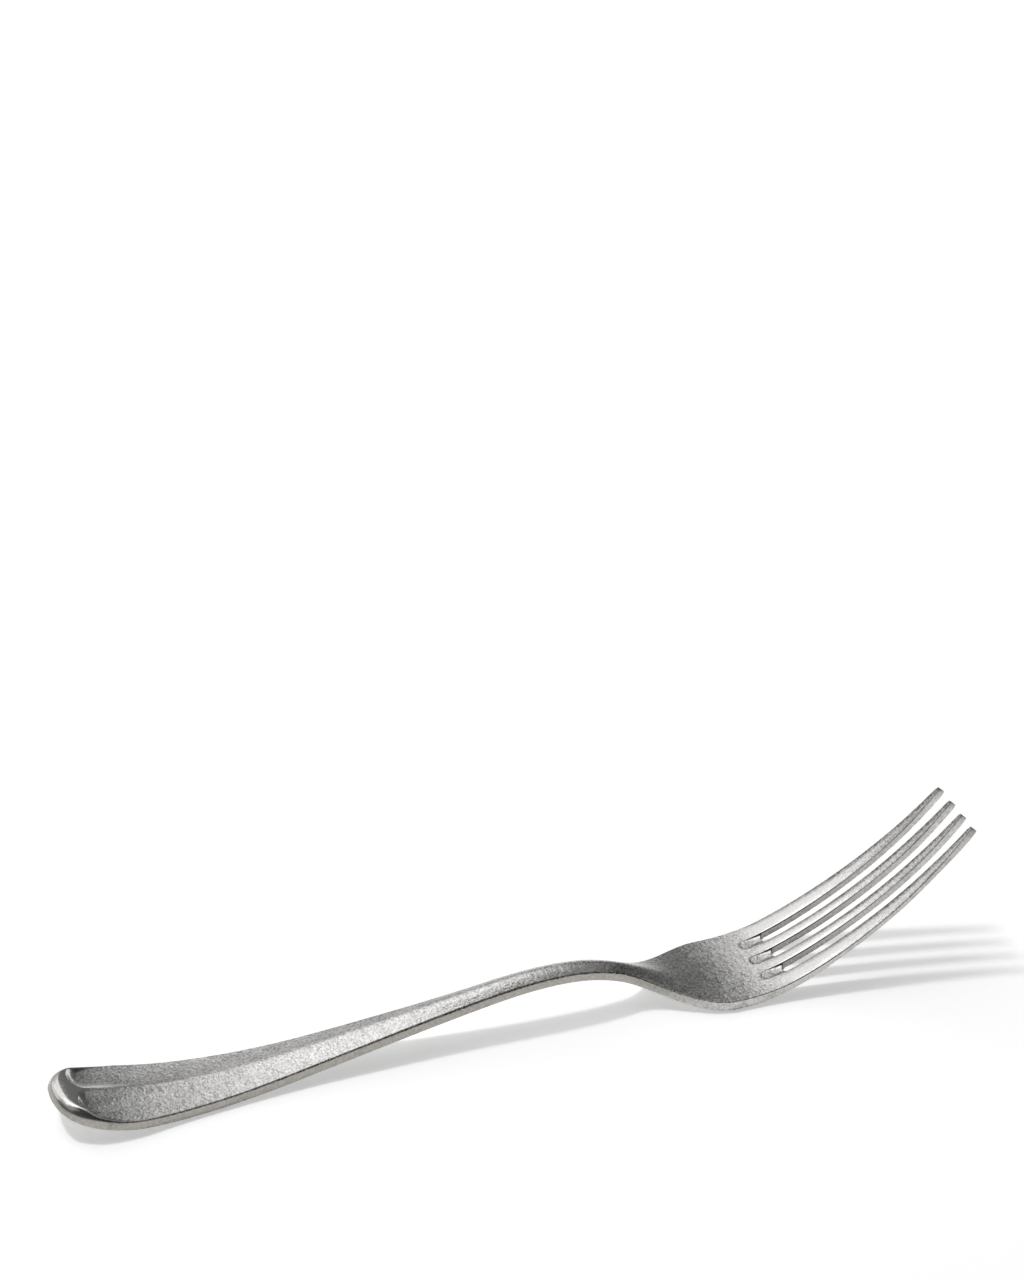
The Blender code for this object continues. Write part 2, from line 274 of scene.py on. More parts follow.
@dataclass(frozen=True)
class Outline:
    """Outline of the flat blank: rounded end, tapering handle, slim neck, shoulder and narrowing head."""

    spine: Spine
    handle_width: float = 0.0190
    end_round: float = 0.0150
    end_squareness: float = 2.8
    rest_width: float = 0.0153
    middle_width: float = 0.0091
    upper_width: float = 0.0054
    neck_width: float = 0.0046
    head_width: float = 0.0216
    tip_span: float = 0.0160
    neck_straight: float = 0.0131
    shoulder_length: float = 0.0217
    head_taper: float = 1.9
    least_reach: float = 0.0001

    @property
    def shoulder(self) -> float:
        """Station where the neck starts to widen."""
        return self.spine.crest + self.neck_straight

    @property
    def head(self) -> float:
        """Station where the head is widest."""
        return self.shoulder + self.shoulder_length

    def half_width(self, s: Array) -> Array:
        """Half the width: a superellipse at the end times a smooth taper, blended into the narrowing head.

        Args:
            s: Stations.

        Returns:
            Half the width at each of them.
        """
        nose = np.clip(1.0 - s / self.end_round, 0.0, 1.0)
        end = (1.0 - nose ** self.end_squareness) ** (1.0 / self.end_squareness)
        handle = through(
            (self.end_round, self.spine.rest, self.spine.climb, self.spine.climb_end, self.shoulder),
            (self.handle_width, self.rest_width, self.middle_width, self.upper_width, self.neck_width), s)
        along = np.clip((s - self.head) / (self.spine.tip - self.head), 0.0, 1.0)
        head = self.head_width + (self.tip_span - self.head_width) * along ** self.head_taper
        return end * (handle + (head - handle) * smoothstep(self.shoulder, self.head, s)) / 2.0

    def share(self, s: Array, y: Array) -> Array:
        """How far across a point lies: 0 on the middle line and 1 at the edge."""
        return np.clip(np.abs(y) / np.maximum(self.half_width(s), self.least_reach), 0.0, 1.0)

    def end_station(self, y: Array) -> Array:
        """Station of the rounded end's outline at a distance y across: the superellipse solved for it."""
        share = 1.0 - (np.abs(y) / (self.handle_width / 2.0)) ** self.end_squareness
        return self.end_round * (1.0 - share ** (1.0 / self.end_squareness))

    def rim_distance(self, s: Array, y: Array) -> Array:
        """Distance from the outline: the superellipse's reach less than 1, over its steepness at the rim.

        Args:
            s: Stations of the points.
            y: Their distances across from the middle line.

        Returns:
            Their distances from the outline.
        """
        half = self.half_width(np.maximum(s, self.end_round))
        nose = np.clip(1.0 - s / self.end_round, 0.0, 1.0)
        across = np.maximum(np.abs(y), self.least_reach) / half
        power = self.end_squareness
        reach = (nose ** power + across ** power) ** (1.0 / power)
        fall = np.hypot((nose / reach) ** (power - 1.0) / self.end_round,
                        (across / reach) ** (power - 1.0) / half)
        return np.clip((1.0 - reach) / fall, 0.0, None)


@dataclass(frozen=True)
class Tines:
    """The four tines, the slots between them and the grooves pressed ahead of the slots.

    The groove's lip is the share of the edge's rounding that its sides start with.
    """

    spine: Spine
    outline: Outline
    count: int = 4
    slot_pitch: float = 0.0054
    slot_width: float = 0.0026
    root_round: float = 0.0008
    tip_taper: float = 0.0130
    taper_slot: float = 0.0029
    tip_pitch: float = 0.0050
    tip_width: float = 0.0010
    tip_round: float = 0.0012
    tip_narrowing: float = 0.0004
    groove_length: float = 0.0055
    groove_depth: float = 0.00028
    groove_ramp: float = 0.0050
    groove_edge_ramp: float = 0.0008
    groove_nose: float = 0.0008
    groove_lead: float = 0.0004
    groove_lip: float = 0.70

    @property
    def groove(self) -> float:
        """Station where the grooves start."""
        return self.spine.root - self.groove_length

    @property
    def taper(self) -> float:
        """Station where the tines start to taper to their tips."""
        return self.spine.tip - self.tip_taper

    def edges(self, s: Array) -> Array:
        """All sides of tines and slots across the blank, in order: pitch and slot width change smoothly.

        Args:
            s: Stations, in one row.

        Returns:
            One row of sides for each station; each pair is a tine, and a slot lies between pairs.
        """
        along = np.clip((s - self.spine.root) / (self.spine.tip - self.spine.root), 0.0, 1.0)
        pitch = self.slot_pitch + (self.tip_pitch - self.slot_pitch) * along
        number = np.arange(self.count - 1) - (self.count - 2) / 2.0
        half = through((self.spine.root, self.taper, self.spine.tip),
                       (self.slot_width, self.taper_slot, self.tip_pitch - self.tip_width), s) / 2.0
        low = np.outer(pitch, number) - half[:, None]
        high = np.outer(pitch, number) + half[:, None]
        outer = self.outline.half_width(s)[:, None]
        between = np.stack((low, high), axis=2).reshape(len(s), -1)
        at_tip = np.clip((s - self.spine.tip) / self.tip_round + 1.0, 0.0, 1.0)
        inward = self.tip_narrowing / 2.0 * at_tip ** 2
        way = np.where(np.arange(2 * self.count) % 2 == 0, 1.0, -1.0)
        return np.hstack((-outer, between, outer)) + inward[:, None] * way

    def presence(self, s: Array) -> Array:
        """Share of the tines' own roundness along the blank: none at the grooves and at the tips."""
        return smoothstep(self.groove, self.spine.root, s) * (1.0 - smoothstep(self.taper, self.spine.tip, s))

    def grooves(self, s: Array, place: Array, in_slot: Array) -> tuple[Array, Array, Array]:
        """Shape of the lead-in grooves: a nose of half an ellipse, and a parabolic floor that ramps down.

        Args:
            s: Stations of the points.
            place: Places across their own tine or slot, from -1 to 1.
            in_slot: Which points lie in line with a slot.

        Returns:
            The lip's share, 0 ahead of the nose and 1 past it; the share of the rounding at the grooves'
            sides, which grows to the slot; and the floor's share of the depth.
        """
        nose = np.where(in_slot, 1.0 - np.sqrt(np.clip(1.0 - place * place, 0.0, 1.0)), 1.0)
        started = s - self.groove + self.groove_lead - self.groove_nose * nose
        lip = smoothstep(0.0, self.groove_edge_ramp, started)
        side = lip * (self.groove_lip + (1.0 - self.groove_lip) * smoothstep(self.groove, self.spine.root, s))
        floor = np.where(in_slot, 1.0 - place * place, 0.0) * smoothstep(0.0, self.groove_ramp, started)
        return lip, side, floor


@dataclass(frozen=True)
class Relief:
    """Thickness of the blank and the relief coined into its two faces.

    The fields run along the blank: thickness of the edge, then pad, step, scoops, ridge, crest, neck, the
    scoops' deep ends where shade is painted, tines and underside. A line is how blunt the ridge is at a
    station.
    """

    spine: Spine
    outline: Outline
    tines: Tines
    end_edge: float = 0.0019
    handle_edge: float = 0.00205
    neck_edge: float = 0.0017
    palm_edge: float = 0.0020
    root_edge: float = 0.00165
    tip_edge: float = 0.0015
    pad_height: float = 0.0012
    pad_end_share: float = 0.6
    pad_round: float = 0.00135
    pad_length: float = 0.0037
    pad_step: float = 0.0022
    step_round: float = 0.00015
    step_spread: float = 0.0045
    spread_reach: float = 0.0017
    scoop_middle: float = 0.0042
    scoop_radius: float = 0.0042
    ridge_round: float = 0.0007
    ridge_line: float = 0.0003
    rest_line: float = 0.0003
    climb_line: float = 0.0006
    upper_line: float = 0.0012
    neck_line: float = 0.0012
    ridge_height: float = 0.0009
    facet_hollow: float = 1.3
    crest_height: float = 0.0007
    crest_width: float = 0.0022
    crest_length: float = 0.0160
    crest_drop: float = 0.0004
    neck_crown: float = 0.0010
    hollow_start: float = 0.0012
    hollow_end: float = 0.0024
    hollow_reach: float = 0.0040
    tine_crown: float = 0.00012
    end_lift: float = 0.0004
    lift_length: float = 0.0030
    belly: float = 0.0002
    neck_belly: float = 0.0005
    tine_belly: float = 0.0001
    tine_dish: float = 0.00025
    tine_feather: float = 0.0004
    feather_length: float = 0.0120
    feather_fall: float = 4.0

    def thickness(self, s: Array) -> Array:
        """Thickness of the edge along the blank, smooth through the values at its stations."""
        spine = self.spine
        return through(
            (0.0, spine.rest, spine.climb, spine.crest, spine.steepest, spine.palm, spine.root, spine.tip),
            (self.end_edge, self.handle_edge, self.handle_edge, self.neck_edge, self.neck_edge,
             self.palm_edge, self.root_edge, self.tip_edge), s)

    def beyond_pad(self, s: Array, y: Array) -> Array:
        """0 on the pad and 1 past its step: a hollow 1 − (1 − t)² below a rounded top, longer at the rim.

        Args:
            s: Stations of the points.
            y: Their distances across from the middle line.

        Returns:
            The share of the step that is behind them.
        """
        past = s - self.foot(y)
        at_rim = 1.0 - smoothstep(0.0, self.spread_reach, self.outline.rim_distance(s, y))
        length = self.pad_step + self.step_spread * at_rim
        t = np.clip((past + np.hypot(past, self.step_round)) / (2.0 * length), 0.0, 1.0)
        return 1.0 - (1.0 - t) ** 2

    def foot(self, y: Array) -> Array:
        """Station of the pad's step: a parabola round the middle of each scoop, rounded over at the ridge."""
        across = np.hypot(y, self.ridge_round)
        return self.pad_length + (across - self.scoop_middle) ** 2 / (2.0 * self.scoop_radius)

    def roof(self, s: Array, y: Array) -> Array:
        """1 on the middle line and 0 at the edge: a roof whose hyperbolic ridge rounds over to the neck.

        Args:
            s: Stations of the points.
            y: Their distances across from the middle line.

        Returns:
            The roof's height there, as a share.
        """
        spine = self.spine
        blunt = through(
            (self.pad_length, spine.rest, spine.climb, spine.climb_end, spine.crest),
            (self.ridge_line, self.rest_line, self.climb_line, self.upper_line, self.neck_line), s)
        half = np.maximum(self.outline.half_width(s), self.outline.least_reach)
        eaves = np.hypot(half, blunt)
        return np.clip((eaves - np.hypot(y, blunt)) / (eaves - blunt), 0.0, 1.0)

    def crest_fade(self, s: Array) -> Array:
        """1 at the pad, falling as a bell along the ridge."""
        return np.exp(-(np.clip(s - self.pad_length, 0.0, None) / self.crest_length) ** 2)

    def hollow(self, s: Array, y: Array) -> Array:
        """1 at the deep ends of the two scoops, where shade is painted: a bell that falls away along them and
        towards the ridge.

        Args:
            s: Stations of the points.
            y: Their distances across from the middle line.

        Returns:
            The scoops' share.
        """
        past = s - self.foot(y)
        bell = np.exp(-(past / self.hollow_reach) ** 2) * (1.0 - np.exp(-(y / self.crest_width) ** 2))
        return bell * smoothstep(self.hollow_start, self.hollow_end, past)

    def upper(self, s: Array, y: Array) -> Array:
        """Upper face above the edge: a pad with a parabolic rim, a scooped ridge and the neck's crown.

        Args:
            s: Stations of the points.
            y: Their distances across from the middle line.

        Returns:
            Heights above the upper edge.
        """
        roof = self.roof(s, y)
        rim = np.clip(1.0 - self.outline.rim_distance(s, y) / self.pad_round, 0.0, 1.0)
        risen = 1.0 - (1.0 - self.pad_end_share) * np.clip(1.0 - s / self.pad_length, 0.0, 1.0) ** 2
        pad = self.pad_height * risen * (1.0 - rim ** 2)
        fade = self.crest_fade(s)
        crest = fade * (self.crest_height * np.exp(-(y / self.crest_width) ** 2) - self.crest_drop)
        ridge = self.ridge_height * roof ** self.facet_hollow + roof * crest
        crown = roof * self.neck_crown
        handle = pad + (ridge - pad) * self.beyond_pad(s, y)
        to_neck = smoothstep(self.spine.climb, self.spine.crest, s)
        to_palm = smoothstep(self.outline.shoulder, self.spine.palm, s)
        return (handle + (crown - handle) * to_neck) * (1.0 - to_palm)

    def lower(self, s: Array, y: Array) -> Array:
        """Underside above the edge: thinned end and outer tines, less a parabolic belly.

        Args:
            s: Stations of the points.
            y: Their distances across from the middle line.

        Returns:
            Heights above the lower edge.
        """
        spine = self.spine
        v = self.outline.share(s, y)
        belly = through((0.0, spine.climb, spine.crest, spine.steepest, spine.palm, spine.root),
                        (self.belly, self.belly, self.neck_belly, self.neck_belly, self.belly, 0.0), s)
        onset = smoothstep(spine.root, spine.root + self.feather_length, s)
        onset = onset * (1.0 - smoothstep(self.tines.taper, spine.tip, s))
        lift = self.end_lift * np.exp(-s / self.lift_length)
        return lift + self.tine_feather * onset * v ** self.feather_fall - belly * (1.0 - v * v)

    def dish(self, s: Array, y: Array) -> Array:
        """How far the inner tines lie below the outer ones: a parabola across that grows to the tips."""
        v = self.outline.share(s, y)
        return self.tine_dish * (1.0 - v * v) * smoothstep(self.spine.root, self.spine.tip, s)


@dataclass(frozen=True)
class Fineness:
    """Spacing of the surface's rows and lines."""

    pad_row: float = 0.00012
    end_row: float = 0.0007
    handle_row: float = 0.0012
    neck_row: float = 0.0009
    palm_row: float = 0.0007
    groove_row: float = 0.00026
    tine_row: float = 0.0006
    tip_row: float = 0.0003
    edge_lines: int = 7
    tine_lines: int = 9
    slot_lines: int = 9
    pad_rows_end: float = 0.0120
    groove_margin: float = 0.0012
    end_corner: float = 0.78
    end_fan: float = 1.4
    split_start: float = 0.0055
    split_length: float = 0.0110


@dataclass(frozen=True)
class Places:
    """Where the grid's points lie on the flat blank, and their distances from the edges that are theirs.

    A place is the way across a point's own tine or slot, from -1 to 1, and a distance is endless where an
    edge isn't the point's own.
    """

    station: Array
    across: Array
    place: Array
    in_slot: Array
    first_tine: Array
    near_side: Array
    far_side: Array
    rim: Array
    tip: Array
    root: Array
    slot: Array


@dataclass(frozen=True)
class Coined:
    """The grid as it leaves the die: places on the flat blank, and heights and traits of its two faces."""

    station: Array
    across: Array
    upper: Array
    lower: Array
    upper_traits: dict[Trait, Array]
    lower_traits: dict[Trait, Array]


@dataclass
class Fork:
    """The fork's one piece: a closed surface on the lines of the coined and bent blank.

    A round is the radius of an edge, a share or a shade lies between 0 and 1, an unshaded share is what is
    taken off the walls' painted shade, and near_edge is counted in edge radii.
    """

    spine: Spine = field(default_factory=Spine)
    fineness: Fineness = field(default_factory=Fineness)
    handle_round: float = 0.00042
    neck_round: float = 0.00032
    root_round: float = 0.00022
    tine_round: float = 0.00010
    under_share: float = 0.5
    far_edge: float = 0.0011
    near_edge: float = 0.5
    near_edge_share: float = 1.0
    inner_edge_share: float = 0.4
    root_edge_share: float = 0.5
    # The next three are shares of painted shade: in the scoops' deep ends, under the slots and round the
    # grooves.
    hollow_shade: float = 0.6
    slot_shade: float = 0.7
    groove_outline_shade: float = 0.75
    root_round_share: float = 0.5
    wall_start: float = 0.8
    # The next four take painted shade off the walls: on the palm, at the tips and in the slots.
    palm_wall_unshaded: float = 0.75
    tip_wall_unshaded: float = 0.5
    slot_wall_unshaded: float = 0.3
    slot_tip_wall_unshaded: float = 0.85
    polish_reach: float = 0.0014
    crest_flank: float = 0.0010
    crest_polish: float = 0.0011
    tip_polish: float = 0.55
    outline: Outline = field(init=False)
    tines: Tines = field(init=False)
    relief: Relief = field(init=False)
    piece: bpy.types.Object | None = None

    def __post_init__(self) -> None:
        """Set up the outline, the tines and the relief on the same spine."""
        self.outline = Outline(self.spine)
        self.tines = Tines(self.spine, self.outline)
        self.relief = Relief(self.spine, self.outline, self.tines)

    def edge_round(self, s: Array) -> Array:
        """Radius of the rounded edge along the blank, smooth through the values at its stations."""
        spine = self.spine
        return through((0.0, spine.climb, spine.crest, spine.palm, spine.root, spine.mid_tine),
                       (self.handle_round, self.handle_round, self.neck_round, self.root_round,
                        self.root_round, self.tine_round), s)

    def rounding_steps(self) -> Array:
        """Distances from an edge of the lines that round it, in radii: 1 − cos of even angles up to 90."""
        return 1.0 - np.cos(np.linspace(0.0, math.pi / 2.0, self.fineness.edge_lines))

    def rows(self) -> Array:
        """Stations of the rows, evenly spaced within each span and closing up at the rounded edges.

        Returns:
            The stations, in rising order.
        """
        fine = self.fineness
        steps = self.rounding_steps()
        end = float(self.edge_round(0.0))
        root = float(self.edge_round(self.spine.root))
        tip = float(self.edge_round(self.spine.tip))
        groove_start = self.tines.groove - fine.groove_margin
        spans = (
            (end, fine.pad_rows_end, fine.pad_row),
            (fine.pad_rows_end, self.spine.rest, fine.end_row),
            (self.spine.rest, self.spine.climb_end, fine.handle_row),
            (self.spine.climb_end, self.outline.shoulder, fine.neck_row),
            (self.outline.shoulder, groove_start, fine.palm_row),
            (groove_start, self.spine.root - root, fine.groove_row),
            (self.spine.root, self.spine.root + fine.groove_margin, fine.groove_row),
            (self.spine.root + fine.groove_margin, self.tines.taper, fine.tine_row),
            (self.tines.taper, self.spine.tip - tip, fine.tip_row),
        )
        stations = [end * steps, self.spine.root - root * steps, self.spine.tip - tip * steps]
        for start, stop, spacing in spans:
            stations.append(np.linspace(start, stop, max(2, round((stop - start) / spacing) + 1)))
        return np.unique(np.concatenate(stations).round(9))

    def lines(self) -> tuple[Array, Array, Array]:
        """The lines across the head: edge lines round each tine's sides, plain lines on tines and in slots.

        Returns:
            Three arrays with one value a line: the tine or slot that it is in, its share of the way across,
            and its distance from there in edge radii.
        """
        steps = self.rounding_steps()
        inner = np.linspace(0.0, 1.0, self.fineness.tine_lines + 2)[1:-1]
        tine_share = np.concatenate((np.zeros_like(steps), inner, np.ones_like(steps)))
        tine_offset = np.concatenate((steps, 1.0 - 2.0 * inner, -steps[::-1]))
        slot_share = np.linspace(0.0, 1.0, self.fineness.slot_lines + 2)[1:-1]
        strips = 2 * self.tines.count - 1
        is_tine = [strip % 2 == 0 for strip in range(strips)]
        share = np.concatenate([tine_share if tine else slot_share for tine in is_tine])
        offset = np.concatenate([tine_offset if tine else 0.0 * slot_share for tine in is_tine])
        counts = [len(tine_share) if tine else len(slot_share) for tine in is_tine]
        return np.repeat(np.arange(strips), counts), share, offset

    def plan(self) -> tuple[Array, Array, Array, Array]:
        """Lay the grid on the flat blank: even lines along the handle that part into tines and slots.

        The first rows fan out of the rounded end: each is a share of the end's own outline, moved along.

        Returns:
            Stations and distances across, one row each for the grid's rows; then, for each point, the
            distances from the two sides of its own tine or slot.
        """
        strip, share, offset = self.lines()
        station = self.rows()
        fine = self.fineness
        edges = self.tines.edges(station)
        low = edges[:, strip]
        high = edges[:, strip + 1]
        radius = self.edge_round(station)[:, None]
        head_y = low + share * (high - low) + offset * radius

        rim = fine.edge_lines - 1
        even = np.clip((np.arange(len(strip)) - rim) / (len(strip) - 1 - 2 * rim), 0.0, 1.0)
        at_rim = (even == 0.0) | (even == 1.0)
        even_offset = np.where(at_rim, offset, 1.0 - 2.0 * even)
        corner = fine.end_corner * self.outline.handle_width / 2.0
        fan = fine.end_fan * self.outline.end_station(corner)
        fade = np.clip(1.0 - station / fan, 0.0, 1.0)
        side = self.outline.half_width(station + fade * self.outline.end_station(corner))[:, None]
        handle_y = side * (2.0 * even - 1.0) + even_offset * radius
        s = station[:, None] + fade[:, None] * self.outline.end_station(handle_y / side * corner)

        parted = smoothstep(0.0, fine.split_length, station - self.outline.head + fine.split_start)[:, None]
        y = handle_y + (head_y - handle_y) * parted
        return s, y, y - low, high - y

    def places(self) -> Places:
        """Set the grid's points: ahead of a slot they move back to its root, half an ellipse across the slot.

        Returns:
            The points and their distances from the edges.
        """
        strip, _, _ = self.lines()
        s, y, from_low, from_high = self.plan()
        root = self.spine.root
        in_slot = np.broadcast_to(strip % 2 == 1, s.shape)
        width = from_low + from_high
        place = np.where(width > 0.0, (from_low - from_high) / np.where(width > 0.0, width, 1.0), 0.0)
        depth = self.tines.root_round * np.sqrt(np.clip(1.0 - place * place, 0.0, 1.0))
        grown = np.clip((s - self.tines.groove) / self.tines.groove_length, 0.0, 1.0)
        s = np.where(in_slot & (s <= root), s - depth * grown, s)
        first = strip == 0
        last = strip == strip[-1]
        rim = np.where(first, from_low, np.where(last, from_high, np.inf))
        beside = np.minimum(np.where(first, np.inf, from_low), np.where(last, np.inf, from_high))
        return Places(
            station=s, across=y, place=place, in_slot=in_slot, first_tine=first,
            near_side=np.where(in_slot, np.inf, from_low),
            far_side=np.where(in_slot, np.inf, from_high),
            rim=np.where(s < root, self.outline.rim_distance(s, y), rim),
            tip=self.spine.tip - s,
            root=np.where(in_slot, np.clip(root - depth - s, 0.0, None), np.inf),
            slot=np.where(in_slot, np.inf, beside),
        )

    def nearness(self, at: Places, slot: Array, reach: Array) -> dict[Edge, Array]:
        """How near the points lie to each kind of edge.

        Args:
            at: The grid's points.
            slot: Their distances from the slots' sides.
            reach: The distance at which nearness starts.

        Returns:
            For each kind, 0 at the reach or beyond and 1 on the edge, rising evenly.
        """
        distances = {Edge.RIM: at.rim, Edge.TIP: at.tip, Edge.ROOT: at.root, Edge.SLOT: slot}
        return {edge: np.clip(1.0 - distance / reach, 0.0, 1.0) for edge, distance in distances.items()}

    def coin(self) -> Coined:
        """Coin the grid: thickness, relief, each tine's parabolic crown, the grooves and the rounded edges.

        A rounding at a point is a quarter round of its nearness to the outline, to a slot's sides and to a
        tip, taken together as the root of the sum of their squares. A slot's root has a quarter round of its
        own above, which fades to the root's corners with the fourth power of the place across.

        Returns:
            The coined grid.
        """
        at = self.places()
        s = at.station
        y = at.across
        relief = self.relief
        radius = self.edge_round(s)
        under_radius = self.under_share * radius
        below = np.hypot(np.clip(self.spine.root - s, 0.0, None), at.slot)
        near = self.nearness(at, at.slot, radius)
        under = self.nearness(at, below, under_radius)
        lip, side, floor = self.tines.grooves(s, at.place, at.in_slot)
        over_root = self.root_round_share * near[Edge.ROOT] * np.clip(1.0 - at.place ** 4, 0.0, 1.0)
        roundness = np.where(at.in_slot, 1.0, at.place ** 2) * self.tines.presence(s)
        dish = relief.dish(s, y)

        turn = np.sqrt(near[Edge.RIM] ** 2 + near[Edge.TIP] ** 2 + (near[Edge.SLOT] * side) ** 2)
        upper = relief.thickness(s) + relief.upper(s, y) - relief.tine_crown * roundness - dish
        upper -= quarter_round(turn, radius) + quarter_round(over_root, radius)
        upper -= quarter_round(side, radius) * at.in_slot + floor * self.tines.groove_depth
        under_turn = np.sqrt(sum(share ** 2 for share in under.values()))
        lower = relief.lower(s, y) + relief.tine_belly * roundness - dish
        lower += quarter_round(under_turn, under_radius)

        none = np.zeros_like(s)
        return Coined(
            station=s, across=y, upper=upper, lower=lower,
            upper_traits={Trait.WALL: self.wall_share(near, s), Trait.EDGE: self.shade_and_edge_share(at, near, lip),
                          Trait.GROOVE: floor, Trait.POLISH: self.polish(s, y)},
            lower_traits={Trait.WALL: self.wall_share(under, s), Trait.EDGE: self.slot_shade_share(under, s),
                          Trait.GROOVE: none, Trait.POLISH: none},
        )

    def shade_and_edge_share(self, at: Places, near: dict[Edge, Array], lip: Array) -> Array:
        """Darker marks on the upper face: a strip at the tines' edges, and painted shade round the grooves
        and in the scoops.

        At a tine's far side it is a bell of the fourth power, and at its near side a bell round the start of
        the rounding. Round a groove it is the nearness to its side, and a parabola of the lip at its nose.

        Args:
            at: The grid's points.
            near: Their nearness to the edges.
            lip: The grooves' lip.

        Returns:
            The share of the darker strip and the painted shade.
        """
        s = at.station
        outward = smoothstep(self.spine.root, self.spine.mid_tine, s)
        near_share = np.where(at.first_tine, self.near_edge_share, self.inner_edge_share * outward)
        past_round = at.near_side / self.edge_round(s) - 1.0
        tine = np.maximum(np.exp(-(at.far_side / self.far_edge) ** 4),
                          near_share * np.exp(-(past_round / self.near_edge) ** 2))
        tine = tine * smoothstep(self.tines.groove, self.spine.root, s)
        tine = tine * (self.root_edge_share * (1.0 - outward) + outward)
        # Painted shade in the scoops' deep ends, and as a border round the grooves.
        scoop = self.hollow_shade * self.relief.hollow(s, at.across)
        border = np.maximum(near[Edge.SLOT] * lip, 4.0 * lip * (1.0 - lip) * at.in_slot)
        return np.maximum.reduce((tine, scoop, self.groove_outline_shade * border * (s < self.spine.root)))

    def slot_shade_share(self, under: dict[Edge, Array], s: Array) -> Array:
        """Painted shade at the foot of the slots' walls, fading from the roots to the middle of the tines."""
        outward = smoothstep(self.spine.root, self.spine.mid_tine, s)
        return self.slot_shade * np.maximum(under[Edge.SLOT], under[Edge.ROOT]) * (1.0 - outward)

    def wall_share(self, near: dict[Edge, Array], s: Array) -> Array:
        """1 on the walls and 0 inside their rounding; their darker colour is partly painted shade, taken off
        on the palm, in the slots and at the tips.

        Args:
            near: The points' nearness to the edges.
            s: Their stations.

        Returns:
            The walls' share.
        """
        spine = self.spine
        # Painted shade is taken off the walls on the palm and at the tips, and in the slots more towards the
        # tips.
        unshaded = through((spine.steepest, spine.palm, spine.root, spine.tip),
                       (0.0, self.palm_wall_unshaded, self.palm_wall_unshaded, self.tip_wall_unshaded), s)
        unshaded_inside = through((spine.root, spine.tip), (self.slot_wall_unshaded, self.slot_tip_wall_unshaded), s)
        outer = np.maximum(near[Edge.RIM], near[Edge.TIP])
        inner = np.maximum(near[Edge.SLOT] * smoothstep(self.tines.groove, spine.root, s), near[Edge.ROOT])
        outer, inner = (np.clip((share - self.wall_start) / (1.0 - self.wall_start), 0.0, 1.0)
                        for share in (outer, inner))
        return np.maximum(outer * (1.0 - unshaded), inner * (1.0 - unshaded_inside))

    def polish(self, s: Array, y: Array) -> Array:
        """Share of polish: full on the pad and the tines' roots, less to the tips, a bell by the crest.

        Args:
            s: Stations of the points.
            y: Their distances across from the middle line.

        Returns:
            The polish's share.
        """
        pad = 1.0 - self.relief.beyond_pad(s - self.polish_reach, y)
        crest = self.relief.crest_fade(s) * np.exp(-((y - self.crest_flank) / self.crest_polish) ** 2)
        middle = (self.spine.root + self.spine.mid_tine) / 2.0
        duller = (1.0 - self.tip_polish) * smoothstep(middle, self.spine.mid_tine, s)
        tine = smoothstep(self.tines.groove, self.spine.root, s) * (1.0 - duller)
        return np.maximum.reduce((pad, crest, tine))

    def faces(self) -> tuple[Array, Array]:
        """Cells of the grid that hold steel, and the walls that close its upper and lower faces at the edges.

        Returns:
            Corner numbers of all faces, four each, where lower points follow upper ones in number; and the
            grid points that are used.
        """
        strip, _, _ = self.lines()
        station = self.rows()
        number = np.arange(len(station) * len(strip)).reshape(len(station), len(strip))
        steel_column = (strip[:-1] % 2 == 0) & (strip[1:] % 2 == 0)
        steel = steel_column[None, :] | (station[:-1, None] < self.spine.root)
        quads = np.stack((number[:-1, :-1], number[1:, :-1], number[1:, 1:], number[:-1, 1:]), axis=-1)
        ringed = np.pad(steel, 1)
        beside = (ringed[1:-1, :-2], ringed[2:, 1:-1], ringed[1:-1, 2:], ringed[:-2, 1:-1])
        rim = [quads[steel & ~next_cell][:, [corner, (corner + 1) % 4]]
               for corner, next_cell in enumerate(beside)]
        rim = np.concatenate(rim)
        lower = number.size
        walls = np.stack((rim[:, 1], rim[:, 0], rim[:, 0] + lower, rim[:, 1] + lower), axis=-1)
        upper = quads[steel]
        used = np.zeros(number.size, dtype=bool)
        used[upper.ravel()] = True
        return np.concatenate((upper, upper[:, ::-1] + lower, walls)), used

    def surface(self) -> tuple[Array, Array, dict[Trait, Array]]:
        """The whole closed surface, laid on the table in the place of the frame's own solid.

        Returns:
            Points, faces of four corners, and the traits of each point.
        """
        shape = self.coin()
        faces, used = self.faces()
        both = np.concatenate((used, used))
        renumbered = np.cumsum(both) - 1
        s = np.tile(shape.station.ravel(), 2)[both]
        y = np.tile(shape.across.ravel(), 2)[both]
        height = np.concatenate((shape.upper.ravel(), shape.lower.ravel()))[both]
        low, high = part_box(NODE)
        x, z = self.spine.bend(s, height)
        x, z = self.spine.lay_down(x, z, s, (low.x + high.x) / 2.0)
        traits = {}
        for trait in Trait:
            two_faces = (shape.upper_traits[trait].ravel(), shape.lower_traits[trait].ravel())
            traits[trait] = np.concatenate(two_faces)[both]
        return np.column_stack((x, y, z)), renumbered[faces], traits

